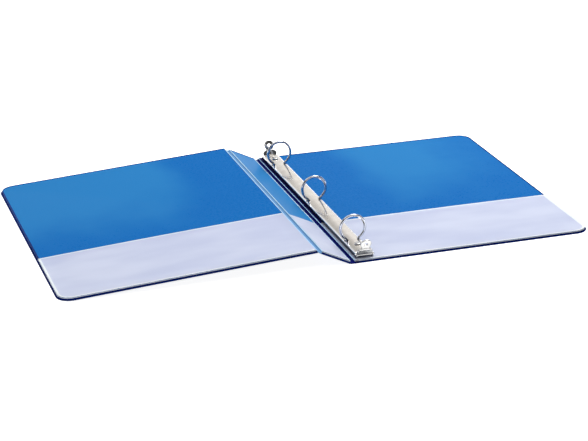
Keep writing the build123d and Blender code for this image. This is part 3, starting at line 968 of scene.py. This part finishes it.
# the front strip is painted pale as light
front_strip = hinge_strip("front_hinge_strip", FRONT_SPAN[1], SPINE_SPAN[0], FLAT_FRONT_FOLD,
                          -(SPINE_TILT + FRONT_SLOPE),
                          (FLAT_FRONT_FOLD - FRONT_BEND[0], FLAT_FRONT_FOLD + FRONT_BEND[1]),
                          lit_groove_vinyl)
lay_on_spine(front_strip)
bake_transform(base_strip)
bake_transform(front_strip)
for strip, node in ((base_strip, "base_hinge_web"), (front_strip, "front_hinge_web")):
    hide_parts(node)
    print(strip.name, len(strip.data.polygons), "faces")

# %% [markdown]
# ## The floor
#
# The binder lies on a plain white sweep. A real one is flooded with light until it has no
# shade of its own. Here the floor glows a little, which does that without more lamps, and it
# doesn't send that glow on into the covers, which would wash out the blue.

# %% Floor
FLOOR_SIZE = 30             # metres, so that its edge is never seen
FLOOR_Z = cad_bounds[0][2] - 0.05 * MM
FLOOR_WHITE, FLOOR_GLOW = (0.86, 0.86, 0.86, 1), 0.9
bpy.ops.mesh.primitive_plane_add(size=FLOOR_SIZE, location=(0, 0, FLOOR_Z))
floor = bpy.context.object
floor.name = "floor"
floor_paint = bpy.data.materials.new("floor_paint")
floor_paint.use_nodes = True
paint = floor_paint.node_tree.nodes["Principled BSDF"]
paint.inputs["Base Color"].default_value = FLOOR_WHITE
paint.inputs["Roughness"].default_value = 0.8
paint.inputs["Emission Color"].default_value = (1, 1, 1, 1)
paint.inputs["Emission Strength"].default_value = FLOOR_GLOW
dress(floor, floor_paint)
floor.visible_diffuse = False
print("floor at", FLOOR_Z)

# %% [markdown]
# ## Lamps
#
# Thin vinyl and chrome both show a lamp's shape, so the lamps are large and soft. One stands
# behind on the right and draws the bright lines along the beads. One hangs overhead and
# lights the flat covers evenly. A low strip in front only fills the near edges, and is kept
# out of reflections, because it would show as a streak in the levers.

# %% Lamps
SOFTBOXES = {       # place, width and height in metres, and power in watts
    "key_softbox": ((0.7, 0.6, 1.4), 0.8, 0.8, 20),
    "overhead_softbox": ((-0.2, 0.0, 1.7), 2.6, 2.6, 20.5),
    "low_fill": ((-0.9, -1.6, 0.16), 1.6, 0.25, 12),
}


def soft_light(name, place, width, height, power):
    """A rectangular lamp at a place, facing the mechanism."""
    lamp = bpy.data.lights.new(name, "AREA")
    lamp.shape, lamp.size, lamp.size_y, lamp.energy = "RECTANGLE", width, height, power
    holder = bpy.data.objects.new(name, lamp)
    bpy.context.scene.collection.objects.link(holder)
    holder.location = place
    holder.rotation_euler = (-Vector(place)).to_track_quat("-Z", "Y").to_euler()
    return holder


lamps = {name: soft_light(name, *settings) for name, settings in SOFTBOXES.items()}
lamps["low_fill"].visible_glossy = False
print("lamps", list(lamps))

# %% [markdown]
# ## The room
#
# Chrome is only as good as what it mirrors. A whole studio could be modelled round it, but a
# band of light low over the far horizon, fading to a dark room behind the camera, gives the
# rings their white and black lines with much less.

# %% Room
BAND_TOP = (0.62, 0.38)         # height in the sky where the band ends, and where it is full
HORIZON = (-0.06, 0.04)
BEHIND_TO_AHEAD = (-0.1, 0.45)
ROOM_DIM, ROOM_BRIGHT, ROOM_FILL = 0.06, 0.9, 0.03

world = bpy.data.worlds.new("studio")
bpy.context.scene.world = world
world.use_nodes = True
sky = Recipe(world.node_tree)
look = sky.add("ShaderNodeTexCoord", output="Generated")
height = sky.add("ShaderNodeSeparateXYZ", inputs={0: look}, output=2)
forward = sky.add("ShaderNodeSeparateXYZ", inputs={0: look}, output=1)
low_band = height.ramp(*BAND_TOP) * height.ramp(*HORIZON)
glow = low_band * forward.ramp(*BEHIND_TO_AHEAD, ROOM_DIM, ROOM_BRIGHT) + ROOM_FILL
backdrop = world.node_tree.nodes["Background"]
sky.feed(backdrop.inputs["Color"], sky.mix(glow, (0, 0, 0, 1), (1, 1, 1, 1)))
print("room", world.name)

# %% [markdown]
# ## The camera
#
# A long lens from well back keeps the covers' edges nearly parallel, as a catalogue shows
# them. The camera stands in front and to the left, and looks down at about 21 degrees. Its
# direction is worked out from a turn and a drop, because those are easier to judge than
# three Euler angles.

# %% Camera
CAMERA_AT = Vector((-0.540, -1.582, 0.6387))
CAMERA_TURN, CAMERA_DROP, CAMERA_ROLL = (math.radians(a) for a in (18.186, 21.33, -0.369))
LENS = 114.25
ahead = Vector((math.sin(CAMERA_TURN) * math.cos(CAMERA_DROP),
                math.cos(CAMERA_TURN) * math.cos(CAMERA_DROP), -math.sin(CAMERA_DROP)))
level_view = ahead.to_track_quat("-Z", "Y").to_matrix()
camera = bpy.data.objects.new("camera", bpy.data.cameras.new("camera"))
bpy.context.scene.collection.objects.link(camera)
camera.data.lens = LENS
camera.location = CAMERA_AT
camera.rotation_euler = (level_view @ Matrix.Rotation(CAMERA_ROLL, 3, "Z")).to_euler()
bpy.context.scene.camera = camera
bpy.context.scene.view_settings.view_transform = "Standard"
print("camera looks along", ahead)

# %% [markdown]
# ## Bringing the scene up to date
#
# The last line brings the view layer up to date. The vinyl may not make the binder larger
# than the exact parts say.

# %% Bringing the scene up to date
bpy.context.view_layer.update()
